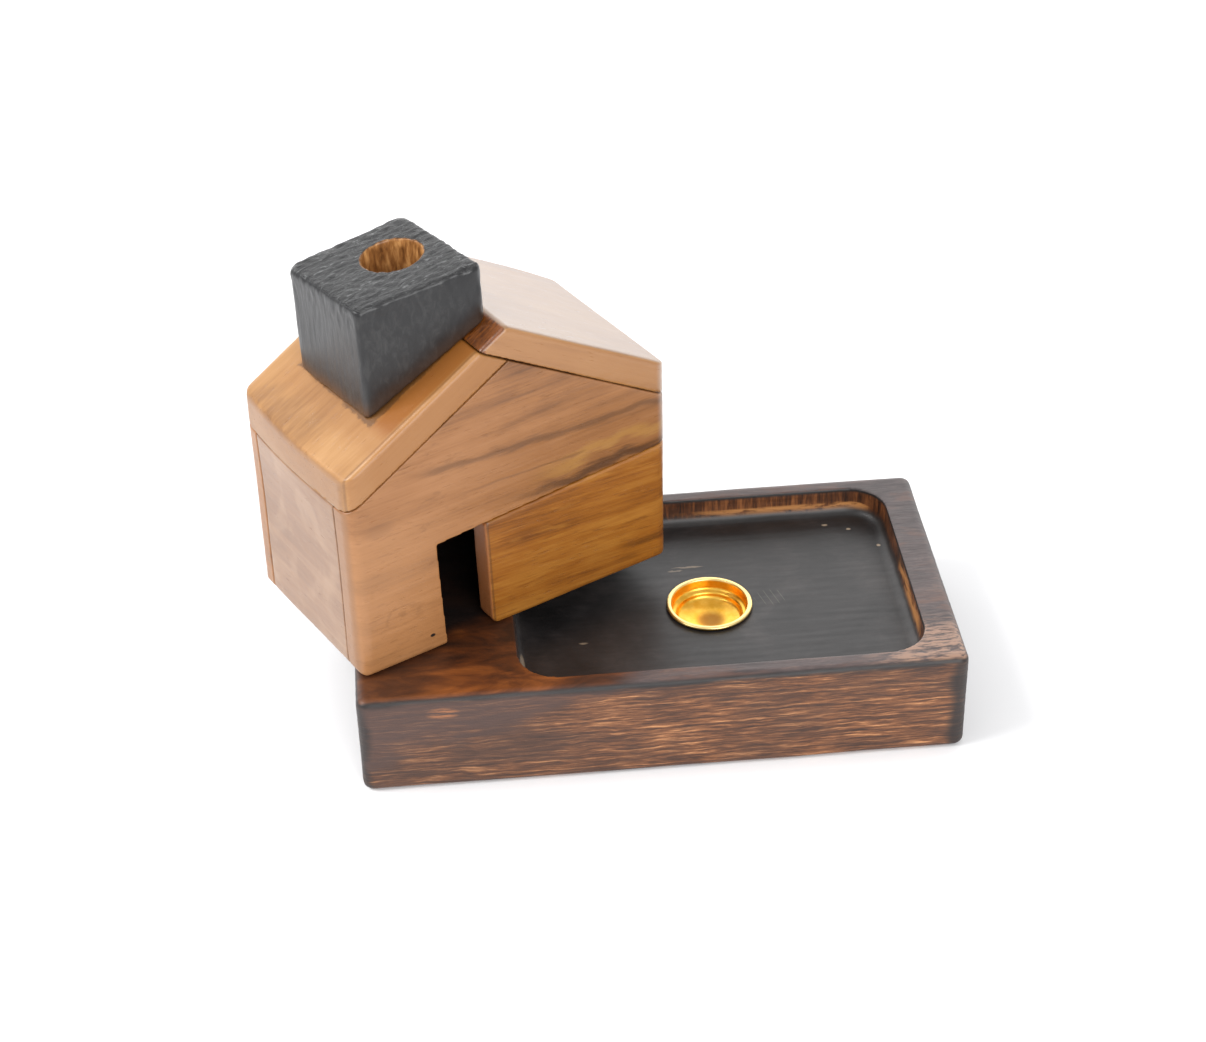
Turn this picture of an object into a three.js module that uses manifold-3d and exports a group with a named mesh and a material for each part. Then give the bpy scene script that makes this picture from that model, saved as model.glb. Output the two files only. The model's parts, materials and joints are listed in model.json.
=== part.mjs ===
// House-shaped cone incense burner: a hollow wooden house with a chimney, lifted off the pocket
// of its wooden base and stood askew on it, so that the brass cone cup in the pocket shows.
// Millimetres, +Z up. The origin is the centre of the base's underside, +X runs along the base
// towards the end with the pocket, and +Y runs to the back.
import * as THREE from 'three';
import { mergeVertices } from 'three/addons/utils/BufferGeometryUtils.js';
import Module from 'manifold-3d';

const wasm = await Module();
wasm.setup();

// Fits and rounding
const GLUE_GAP = 0.3;                // between pieces that touch, so that no two solids overlap
const ARC_STEPS = 5;                 // straight steps in a rounded corner
const ROUND_STEPS = 40;              // straight steps round a bore or the cup
const FAR = 200;                     // reach of a cutting solid past what it cuts

// Base block
const BASE = { length: 140, width: 75, height: 26 };
const BASE_EDGE = 1.8;               // rounding of the top and bottom edges
const BASE_CORNER = 2.6;             // rounding of the upright corners

// Pocket that the house's foot drops into
const RIM = { left: 37.5, right: 8.2, front: 5, back: 4.5 };
const POCKET_DEPTH = 7;
const POCKET_CORNER = 9;
const POCKET_COVE = 2.6;             // rounding between the pocket's wall and its floor

// Brass cone cup, let into the pocket's floor
const CUP_LIP_RADIUS = 10.3;
const CUP_LIP_THICKNESS = 0.7;
const CUP_FORWARD = 1.5;             // from the pocket's middle toward the front
const CUP_BODY_RADIUS = 9.1;
const CUP_BORE_RADIUS = 8.5;
const CUP_DEPTH = 6.2;               // from the top of the lip to the lowest point inside
const CUP_WALL = 0.8;

// House, in its own frame: x along the door wall from its left end, y to the back, z up
const HOUSE = { width: 84.9, depth: 47.9, eave: 53.4, ridge: 78.4 };
const HOUSE_CORNER = 3.4;            // upright corners
const HOUSE_FOOT_EDGE = 2.2;         // bottom edges at the two ends
const HOUSE_EAVE_EDGE = 2.4;
const HOUSE_ARRIS = 1.2;             // edges of the two gable faces
const RIDGE_EDGE = 1.6;
const WALL = 6;
const SLAB = 7.2;                    // thickness of a roof slab, square to the slope
const HOUSE_CORNER_ON_BASE = [-68.2, -29.1];  // front left corner, in the base's frame
const HOUSE_TURN = THREE.MathUtils.degToRad(28.4);

// Doorway and the darker board beside it
const DOOR = { left: 21.4, right: 34.2 };  // at the lintel
const DOOR_SPLAY = { left: 1.3, right: 0.8 };  // how far each side leans to the right at the foot
const LINTEL_AT_DOOR = 28.9;         // height of the lintel above the doorway's left side
const LINTEL_RISE = 0.058;           // the saw cut climbs towards the right corner
const BOARD_FOOT_ROUND = 2.4;        // lower corner of the darker board, by the doorway
const BOARD_CORNER_ROUND = 1;
const BOARD_ARRIS = 0.5;

// Chimney: a block sawn by eye, so its plan isn't square and its top isn't level
const CHIMNEY_PLAN = [[11.9, 9.6], [42, 6.4], [41.2, 39.5], [10.8, 39.7]];
const CHIMNEY_ROUNDS = [1.6, 2, 2.6, 3];
const CHIMNEY_TOP = 88;              // height of the top above the house's foot, over the corner
const CHIMNEY_TOP_RISE = { x: 0.115, y: -0.06 };  // climb of the top along x and along y
const CHIMNEY_LEAN = -0.033;         // sideways lean along x for each unit of height
const CHIMNEY_EDGE = 1.3;
const SMOKE_HOLE = { x: 29, y: 25.2, radius: 6.9 };

const HONEY_WOOD = { color: 0xc08a58, roughness: 0.42, metalness: 0 };
const AMBER_WOOD = { color: 0xa9692c, roughness: 0.38, metalness: 0 };
const BLACK_WOOD = { color: 0x2f3032, roughness: 0.5, metalness: 0 };
const BURNT_WOOD = { color: 0x4b3a33, roughness: 0.4, metalness: 0 };
const BRASS = { color: 0xd9a441, roughness: 0.22, metalness: 1 };

// A closed three.js geometry as a manifold solid.
function solidOf(geometry) {
  const bare = geometry.clone();
  bare.deleteAttribute('normal');
  bare.deleteAttribute('uv');
  const merged = mergeVertices(bare, 1e-4);
  return new wasm.Manifold(new wasm.Mesh({
    numProp: 3,
    vertProperties: new Float32Array(merged.attributes.position.array),
    triVerts: new Uint32Array(merged.index.array),
  }));
}

function geometryOf(solid) {
  const { vertProperties, triVerts } = solid.getMesh();
  const geometry = new THREE.BufferGeometry();
  geometry.setAttribute('position', new THREE.BufferAttribute(vertProperties, 3));
  geometry.setIndex(new THREE.BufferAttribute(triVerts, 1));
  geometry.computeVertexNormals();
  return geometry;
}

function meshOf(name, solid, finish) {
  const mesh = new THREE.Mesh(geometryOf(solid), new THREE.MeshStandardMaterial(finish));
  mesh.name = name;
  return mesh;
}

// A closed outline of arcs and straight sides. The corners go round a convex shape
// anticlockwise, and each is rounded by its own radius.
function roundedOutline(corners, radii) {
  const shape = new THREE.Shape();
  corners.forEach((corner, index) => {
    const here = new THREE.Vector2(...corner);
    const back = new THREE.Vector2(...corners.at(index - 1)).sub(here).normalize();
    const onward = new THREE.Vector2(...corners[(index + 1) % corners.length]).sub(here).normalize();
    const halfAngle = back.angleTo(onward) / 2;
    const inward = back.clone().add(onward).setLength(radii[index] / Math.sin(halfAngle));
    const centre = here.clone().add(inward);
    const start = Math.atan2(back.x, -back.y);
    const end = Math.atan2(-onward.x, onward.y);
    shape.absarc(centre.x, centre.y, radii[index], start, end, false);
  });
  shape.closePath();
  return shape;
}

// The outline raised from z = 0 to z = height, with its top and bottom edges rounded.
function raised(shape, height, edge = 0) {
  const geometry = new THREE.ExtrudeGeometry(shape, {
    depth: height - 2 * edge,
    curveSegments: ARC_STEPS,
    bevelEnabled: edge > 0,
    bevelThickness: edge,
    bevelSize: edge,
    bevelOffset: -edge,
    bevelSegments: ARC_STEPS - 1,
  });
  return geometry.translate(0, 0, edge);
}

// An outline drawn in x and z, run along y from front to back.
function runBack(shape, front, back, edge = 0) {
  return raised(shape, back - front, edge).rotateX(Math.PI / 2).translate(0, back, 0);
}

function boxBetween(low, high) {
  const size = high.map((value, axis) => value - low[axis]);
  const middle = high.map((value, axis) => (value + low[axis]) / 2);
  return solidOf(new THREE.BoxGeometry(...size).translate(...middle));
}

function uprightCylinder(radius, x, y, low, high) {
  const geometry = new THREE.CylinderGeometry(radius, radius, high - low, ROUND_STEPS);
  return solidOf(geometry.rotateX(Math.PI / 2).translate(x, y, (low + high) / 2));
}

// ---- Base ----

const pocket = {
  left: -BASE.length / 2 + RIM.left,
  right: BASE.length / 2 - RIM.right,
  front: -BASE.width / 2 + RIM.front,
  back: BASE.width / 2 - RIM.back,
  floor: BASE.height - POCKET_DEPTH,
};
const cupCentre = [
  (pocket.left + pocket.right) / 2,
  (pocket.front + pocket.back) / 2 - CUP_FORWARD,
];
const cupLipBottom = pocket.floor + GLUE_GAP;
const cupLipTop = cupLipBottom + CUP_LIP_THICKNESS;
const cupBottom = cupLipTop - CUP_DEPTH - CUP_WALL;

function rectangle(left, right, front, back, radius) {
  const corners = [[left, front], [right, front], [right, back], [left, back]];
  return roundedOutline(corners, corners.map(() => radius));
}

function pocketCutter() {
  const outline = rectangle(pocket.left, pocket.right, pocket.front, pocket.back, POCKET_CORNER);
  return solidOf(raised(outline, FAR, POCKET_COVE).translate(0, 0, pocket.floor));
}

function baseBlock() {
  const halfLength = BASE.length / 2;
  const halfWidth = BASE.width / 2;
  const outline = rectangle(-halfLength, halfLength, -halfWidth, halfWidth, BASE_CORNER);
  const seat = uprightCylinder(
    CUP_BODY_RADIUS + GLUE_GAP, ...cupCentre, cupBottom - GLUE_GAP, BASE.height,
  );
  return solidOf(raised(outline, BASE.height, BASE_EDGE)).subtract(pocketCutter()).subtract(seat);
}

// Half section of the cup: up the outside to the rolled lip, over it and down the bowl.
function coneCup() {
  const profile = new THREE.Shape();
  const lipRound = CUP_LIP_THICKNESS / 2;
  profile.moveTo(0, cupBottom);
  profile.lineTo(CUP_BODY_RADIUS - CUP_WALL, cupBottom);
  profile.quadraticCurveTo(CUP_BODY_RADIUS, cupBottom, CUP_BODY_RADIUS, cupBottom + CUP_WALL);
  profile.lineTo(CUP_BODY_RADIUS, cupLipBottom);
  profile.lineTo(CUP_LIP_RADIUS - lipRound, cupLipBottom);
  profile.absarc(
    CUP_LIP_RADIUS - lipRound, cupLipBottom + lipRound, lipRound, -Math.PI / 2, Math.PI / 2,
  );
  profile.lineTo(CUP_BORE_RADIUS + lipRound, cupLipTop);
  profile.quadraticCurveTo(CUP_BORE_RADIUS, cupLipTop, CUP_BORE_RADIUS, cupLipTop - lipRound);
  profile.bezierCurveTo(
    CUP_BORE_RADIUS, cupLipTop - CUP_DEPTH * 0.8,
    CUP_BORE_RADIUS * 0.6, cupLipTop - CUP_DEPTH,
    0, cupLipTop - CUP_DEPTH,
  );
  const lathe = new THREE.LatheGeometry(profile.getPoints(ARC_STEPS), ROUND_STEPS);
  return solidOf(lathe.rotateX(Math.PI / 2).translate(...cupCentre, 0));
}

// ---- House ----

const houseMiddle = HOUSE.width / 2;
const slopeAngle = Math.atan2(HOUSE.ridge - HOUSE.eave, houseMiddle);
const slopeRise = Math.tan(slopeAngle);

// Height of the roof's outer face over x, lowered square to the slope by a depth.
const leftSlope = (x, depth = 0) => HOUSE.eave + slopeRise * x - depth / Math.cos(slopeAngle);
const rightSlope = (x, depth = 0) => leftSlope(HOUSE.width - x, depth);
const lintel = (x) => LINTEL_AT_DOOR + LINTEL_RISE * (x - DOOR.left);

function sharp(points) {
  return new THREE.Shape(points.map((point) => new THREE.Vector2(...point)));
}

// The whole house as one sanded block, from which every piece of it is cut.
function houseBlock() {
  const gable = roundedOutline(
    [
      [0, 0], [HOUSE.width, 0], [HOUSE.width, HOUSE.eave],
      [houseMiddle, HOUSE.ridge], [0, HOUSE.eave],
    ],
    [HOUSE_FOOT_EDGE, HOUSE_FOOT_EDGE, HOUSE_EAVE_EDGE, RIDGE_EDGE, HOUSE_EAVE_EDGE],
  );
  const plan = rectangle(0, HOUSE.width, 0, HOUSE.depth, HOUSE_CORNER);
  const upright = raised(plan, HOUSE.ridge + FAR).translate(0, 0, -FAR / 2);
  return solidOf(runBack(gable, 0, HOUSE.depth, HOUSE_ARRIS)).intersect(solidOf(upright));
}

// The part of the right slope's slab, which runs over the ridge and is sawn off flush with
// the left slope. A deeper slab or a longer end makes room for the glue.
function rightSlabZone(depth) {
  const outline = sharp([
    [-FAR, rightSlope(-FAR, depth)], [FAR, rightSlope(FAR, depth)],
    [FAR, rightSlope(FAR) + FAR], [-FAR, rightSlope(-FAR) + FAR],
  ]);
  return solidOf(runBack(outline, -FAR, FAR));
}

function leftSlabZone(depth) {
  const outline = sharp([
    [-FAR, leftSlope(-FAR, depth)], [houseMiddle, leftSlope(houseMiddle, depth)],
    [houseMiddle, FAR], [-FAR, FAR],
  ]);
  return solidOf(runBack(outline, -FAR, FAR));
}

// Everything under both slabs.
function wallsBlock(block) {
  const depth = SLAB + GLUE_GAP;
  const outline = sharp([
    [-FAR, -FAR], [FAR, -FAR], [FAR, rightSlope(FAR, depth)],
    [houseMiddle, leftSlope(houseMiddle, depth)], [-FAR, leftSlope(-FAR, depth)],
  ]);
  return block.intersect(solidOf(runBack(outline, -FAR, FAR)));
}

// The doorway and the darker board's place: all that is under the sawn lintel line.
function underLintel() {
  return sharp([
    [DOOR.left + DOOR_SPLAY.left, 0], [DOOR.left + DOOR_SPLAY.left, -FAR], [FAR, -FAR],
    [FAR, lintel(FAR)], [DOOR.left, lintel(DOOR.left)],
  ]);
}

function frontWall(walls) {
  return walls
    .intersect(boxBetween([-FAR, -FAR, -FAR], [FAR, WALL, FAR]))
    .subtract(solidOf(runBack(underLintel(), -FAR, FAR)));
}

function frontRightBoard(walls) {
  const right = HOUSE.width + FAR;
  const outline = roundedOutline(
    [
      [DOOR.right + DOOR_SPLAY.right, 0], [right, 0],
      [right, lintel(right) - GLUE_GAP], [DOOR.right, lintel(DOOR.right) - GLUE_GAP],
    ],
    [BOARD_FOOT_ROUND, BOARD_CORNER_ROUND, BOARD_CORNER_ROUND, BOARD_CORNER_ROUND],
  );
  return walls.intersect(solidOf(runBack(outline, 0, WALL, BOARD_ARRIS)));
}

function rearWall(walls) {
  return walls.intersect(boxBetween([-FAR, HOUSE.depth - WALL, -FAR], [FAR, FAR, FAR]));
}

function sideWall(walls, left, right) {
  const front = WALL + GLUE_GAP;
  const back = HOUSE.depth - WALL - GLUE_GAP;
  return walls.intersect(boxBetween([left, front, -FAR], [right, back, FAR]));
}

function smokeBore() {
  return uprightCylinder(SMOKE_HOLE.radius, SMOKE_HOLE.x, SMOKE_HOLE.y, 0, FAR);
}

function leftRoofSlab(block) {
  return block
    .intersect(leftSlabZone(SLAB))
    .subtract(rightSlabZone(SLAB + GLUE_GAP))
    .subtract(smokeBore());
}

function rightRoofSlab(block) {
  return block.intersect(rightSlabZone(SLAB));
}

function chimneyBlock() {
  const [cornerX, cornerY] = CHIMNEY_PLAN[0];
  const outline = roundedOutline(CHIMNEY_PLAN, CHIMNEY_ROUNDS);
  const tilt = new THREE.Matrix4().set(
    1, 0, 0, 0,
    0, 1, 0, 0,
    CHIMNEY_TOP_RISE.x, CHIMNEY_TOP_RISE.y, 1,
    -CHIMNEY_TOP_RISE.x * cornerX - CHIMNEY_TOP_RISE.y * cornerY,
    0, 0, 0, 1,
  );
  const foot = leftSlope(cornerX);
  const lean = new THREE.Matrix4().set(
    1, 0, CHIMNEY_LEAN, -CHIMNEY_LEAN * foot,
    0, 1, 0, 0,
    0, 0, 1, 0,
    0, 0, 0, 1,
  );
  const block = raised(outline, CHIMNEY_TOP, CHIMNEY_EDGE).applyMatrix4(tilt).applyMatrix4(lean);
  const underRoof = sharp([
    [-FAR, -FAR], [FAR, -FAR], [FAR, leftSlope(FAR, -GLUE_GAP)], [-FAR, leftSlope(-FAR, -GLUE_GAP)],
  ]);
  return solidOf(block).subtract(solidOf(runBack(underRoof, -FAR, FAR))).subtract(smokeBore());
}

function house() {
  const block = houseBlock();
  const walls = wallsBlock(block);
  const group = new THREE.Group();
  group.add(
    meshOf('front_wall', frontWall(walls), HONEY_WOOD),
    meshOf('front_right_board', frontRightBoard(walls), AMBER_WOOD),
    meshOf('rear_wall', rearWall(walls), HONEY_WOOD),
    meshOf('left_side_wall', sideWall(walls, -FAR, WALL), HONEY_WOOD),
    meshOf('right_side_wall', sideWall(walls, HOUSE.width - WALL, FAR), HONEY_WOOD),
    meshOf('left_roof_slab', leftRoofSlab(block), HONEY_WOOD),
    meshOf('right_roof_slab', rightRoofSlab(block), HONEY_WOOD),
    meshOf('chimney_block', chimneyBlock(), BLACK_WOOD),
  );
  group.position.set(...HOUSE_CORNER_ON_BASE, BASE.height + GLUE_GAP);
  group.rotation.z = HOUSE_TURN;
  return group;
}

const burner = new THREE.Group();
burner.add(
  meshOf('base_block', baseBlock(), BURNT_WOOD),
  meshOf('cone_cup', coneCup(), BRASS),
  house(),
);

export default burner;
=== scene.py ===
import json
import math

import bpy
import numpy as np
from mathutils import Matrix, Vector, noise


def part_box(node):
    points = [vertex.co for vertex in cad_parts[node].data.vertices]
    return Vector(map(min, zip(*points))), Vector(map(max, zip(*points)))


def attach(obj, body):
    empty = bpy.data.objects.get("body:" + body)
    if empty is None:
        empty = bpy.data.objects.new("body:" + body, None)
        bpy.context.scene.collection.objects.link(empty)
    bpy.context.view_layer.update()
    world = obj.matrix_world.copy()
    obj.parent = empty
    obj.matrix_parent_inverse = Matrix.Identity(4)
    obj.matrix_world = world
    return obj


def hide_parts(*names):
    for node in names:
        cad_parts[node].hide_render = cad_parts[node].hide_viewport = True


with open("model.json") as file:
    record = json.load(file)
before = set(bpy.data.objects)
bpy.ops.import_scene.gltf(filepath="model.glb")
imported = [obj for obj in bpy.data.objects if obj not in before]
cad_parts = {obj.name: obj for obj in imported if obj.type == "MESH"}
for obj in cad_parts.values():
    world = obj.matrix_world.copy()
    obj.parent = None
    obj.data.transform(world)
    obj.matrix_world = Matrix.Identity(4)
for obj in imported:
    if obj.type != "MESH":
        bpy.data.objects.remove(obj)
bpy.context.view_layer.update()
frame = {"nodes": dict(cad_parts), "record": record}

# Visual model of the house-shaped incense burner. The lengths below are millimetres in the frame
# of the CAD part, or in the frame of the house, whose x runs along the door wall from its left
# end, y to the back and z up from the foot. MM turns them into the metres of the scene.
MM = 0.001

# ---- Sizes and places ----

# Dimensions of the CAD part that the frame doesn't name. LINTEL is the height of the doorway, and
# BOARD_FOOT and BOARD_HEAD are where the end of the board beside it stands, at its foot and at
# the lintel. CHIMNEY_PLAN is where the chimney meets the roof.
HOUSE_TURN = math.radians(28.4)
WALL = 6.0
SLAB = 7.2
EAVE = 53.4
LINTEL = 28.9
BOARD_FOOT = 35.0
BOARD_HEAD = 34.2
CHIMNEY_PLAN = ((11.3, 8.0), (41.6, 39.6))
SMOKE_HOLE_RADIUS = 6.9
POCKET_PLAN = ((-32.5, -32.5), (61.8, 33.0))
POCKET_FLOOR = 19.0

HOUSE_NODES = frame["record"]["behaviour"]["bodies"]["house"]
OPENINGS = {o["name"]: o["box_m"] for o in frame["record"]["physics"]["openings"]}


def node_points(name):
    """The corners of a CAD node as an array of points in millimetres."""
    mesh = frame["nodes"][name].data
    points = np.zeros(len(mesh.vertices) * 3)
    mesh.vertices.foreach_get("co", points)
    return points.reshape(-1, 3) / MM


def house_placement():
    """The matrix from the house's own frame to the scene, and the size of the walls and roof."""
    turn = np.array(Matrix.Rotation(HOUSE_TURN, 3, "Z"))
    walls = np.vstack([node_points(name) for name in HOUSE_NODES if name != "chimney_block"])
    squared = walls @ turn
    corner = turn @ squared.min(0)
    matrix = Matrix.Translation(Vector(corner) * MM) @ Matrix.Rotation(HOUSE_TURN, 4, "Z")
    return matrix, squared.max(0) - squared.min(0)


def opening_middle(name):
    """The middle of an opening's box, in metres."""
    low, high = OPENINGS[name]
    return (Vector(low) + Vector(high)) / 2


HOUSE, (HOUSE_LENGTH, HOUSE_DEPTH, HOUSE_HEIGHT) = house_placement()
SMOKE_HOLE = HOUSE.inverted() @ opening_middle("smoke_hole") / MM
SLOPE = math.atan((HOUSE_HEIGHT - EAVE) / (HOUSE_LENGTH / 2))
BASE = Matrix.Identity(4)
BASE_LENGTH, BASE_DEPTH, BASE_HEIGHT = np.ptp(node_points("base_block"), axis=0)

# ---- Meshes ----

# Each wooden node is remeshed at a voxel size, smoothed, raised by its grain and thinned again.
# The door wall gets the smallest voxels, to keep the corners of its doorway crisp.
BOARD_VOXEL = 0.34
DOOR_WALL_VOXEL = 0.24
BASE_VOXEL = 0.4
SANDING = 0.5
SANDING_PASSES = 4
KEPT_FACES = 0.3

# The left eave bows outward, most of all a little below the eave's line. The right slope swells.
EAVE_BOW = 1.1
BOW_REACH = 12
BOW_DROP = 4
BOW_HEIGHT = 14
ROOF_SWELL = 0.6
SWELL_RISE = 12

# The chimney gets rougher toward its top, from this height and over this rise.
ROUGH_FROM = 80
ROUGH_RISE = 6


def refined(name, node, matrix, grain, bend, voxel):
    """A dense, sanded copy of a CAD node with the wood's own unevenness.

    grain gives the height of the surface in millimetres at a point of the piece's own frame, and
    bend gives how far an array of such points moves.
    """
    mesh = frame["nodes"][node].data.copy()
    mesh.materials.clear()
    mesh.transform(matrix.inverted())
    piece = bpy.data.objects.new(name, mesh)
    bpy.context.scene.collection.objects.link(piece)
    piece.matrix_world = matrix
    dense = piece.modifiers.new("dense", "REMESH")
    dense.mode = "VOXEL"
    dense.voxel_size = voxel * MM
    sanded = piece.modifiers.new("sanded", "SMOOTH")
    sanded.factor = SANDING
    sanded.iterations = SANDING_PASSES
    bake_modifiers(piece)
    raise_surface(piece.data, grain, bend)
    thinned = piece.modifiers.new("thinned", "DECIMATE")
    thinned.ratio = KEPT_FACES
    bake_modifiers(piece)
    piece.data.shade_smooth()
    return piece


def bake_modifiers(piece):
    """Put the result of the piece's modifiers in its mesh."""
    graph = bpy.context.evaluated_depsgraph_get()
    mesh = bpy.data.meshes.new_from_object(piece.evaluated_get(graph))
    piece.modifiers.clear()
    piece.data = mesh


def raise_surface(mesh, grain, bend):
    """Move every vertex along its normal by the height of the grain there, and then bend it."""
    points = np.zeros(len(mesh.vertices) * 3)
    normals = np.zeros(len(mesh.vertices) * 3)
    mesh.vertices.foreach_get("co", points)
    mesh.vertex_normals.foreach_get("vector", normals)
    points = points.reshape(-1, 3)
    heights = np.array([grain(Vector(point)) for point in points / MM])
    points += normals.reshape(-1, 3) * heights[:, None] * MM
    points += bend(points / MM) * MM
    mesh.vertices.foreach_set("co", points.ravel())
    mesh.update()


def bowed_house(points):
    """The left eave bows outward, and the right slope swells toward its rear edge."""
    x, y, z = points.T
    back = np.clip(y / HOUSE_DEPTH, 0, 1)
    near_left = np.clip(1 - x / BOW_REACH, 0, 1)
    eave = np.exp(-((z - EAVE + BOW_DROP) / BOW_HEIGHT) ** 2)
    right = np.clip(2 * x / HOUSE_LENGTH - 1, 0, 1)
    high = np.clip((z - EAVE + SWELL_RISE) / SWELL_RISE, 0, 1)
    moved = np.zeros_like(points)
    moved[:, 0] = -EAVE_BOW * near_left * eave * np.sin(math.pi * back)
    moved[:, 2] = ROOF_SWELL * high * np.sin(math.pi * right ** 1.5) * back ** 2
    return moved


def unbent(points):
    """The base keeps its shape."""
    return np.zeros_like(points)


def ripple(point, *sizes):
    """Noise from -1 to 1, with features of the given sizes in millimetres along x, y and z."""
    return noise.noise(Vector([part / size for part, size in zip(point, sizes)]))


def house_grain(point):
    """Hand-sanded boards: slow waves, with faint ridges along the grain."""
    wave = noise.noise(point / 22)
    ridge = ripple(point, 9, 2.5, 1.3)
    return 0.12 * wave + 0.025 * ridge


def chimney_grain(point):
    """Roughly cut and thickly stained, most of all on the top."""
    wave = noise.noise(point / 14)
    brushed = ripple(point, 3, 1.1, 5)
    rough = ripple(point, 2, 1.1, 2.4)
    on_top = min(max((point.z - ROUGH_FROM) / ROUGH_RISE, 0), 1)
    return 0.2 * wave + 0.06 * brushed + 0.2 * on_top * rough


def base_grain(point):
    """Burnt and brushed wood: the soft wood lies lower than the hard."""
    wave = noise.noise(point / 26)
    ridge = ripple(point, 12, 1.6, 1.1)
    return 0.15 * wave + 0.045 * ridge


def spun(name, profile, matrix, steps=96):
    """A solid of revolution about its own Z. The profile's ends are on the axis."""
    rings = [(r * MM, z * MM) for r, z in profile]
    verts = [(0.0, 0.0, rings[0][1])]
    for radius, height in rings[1:-1]:
        for index in range(steps):
            angle = 2 * math.pi * index / steps
            verts.append((radius * math.cos(angle), radius * math.sin(angle), height))
    verts.append((0.0, 0.0, rings[-1][1]))
    last = len(verts) - 1
    top = 1 + (len(rings) - 3) * steps
    faces = []
    for index in range(steps):
        following = (index + 1) % steps
        faces.append((0, 1 + following, 1 + index))
        for low in range(1, top, steps):
            high = low + steps
            faces.append((low + index, low + following, high + following, high + index))
        faces.append((top + index, top + following, last))
    mesh = bpy.data.meshes.new(name)
    mesh.from_pydata(verts, [], faces)
    mesh.shade_smooth()
    piece = bpy.data.objects.new(name, mesh)
    bpy.context.scene.collection.objects.link(piece)
    piece.matrix_world = matrix
    return piece


def arc(centre, radius, start, end, steps=8):
    """Points round part of a circle, with the angles in degrees."""
    angles = [math.radians(start + (end - start) * i / steps) for i in range(steps + 1)]
    return [(centre[0] + radius * math.cos(a), centre[1] + radius * math.sin(a)) for a in angles]


# ---- Node trees ----


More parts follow.
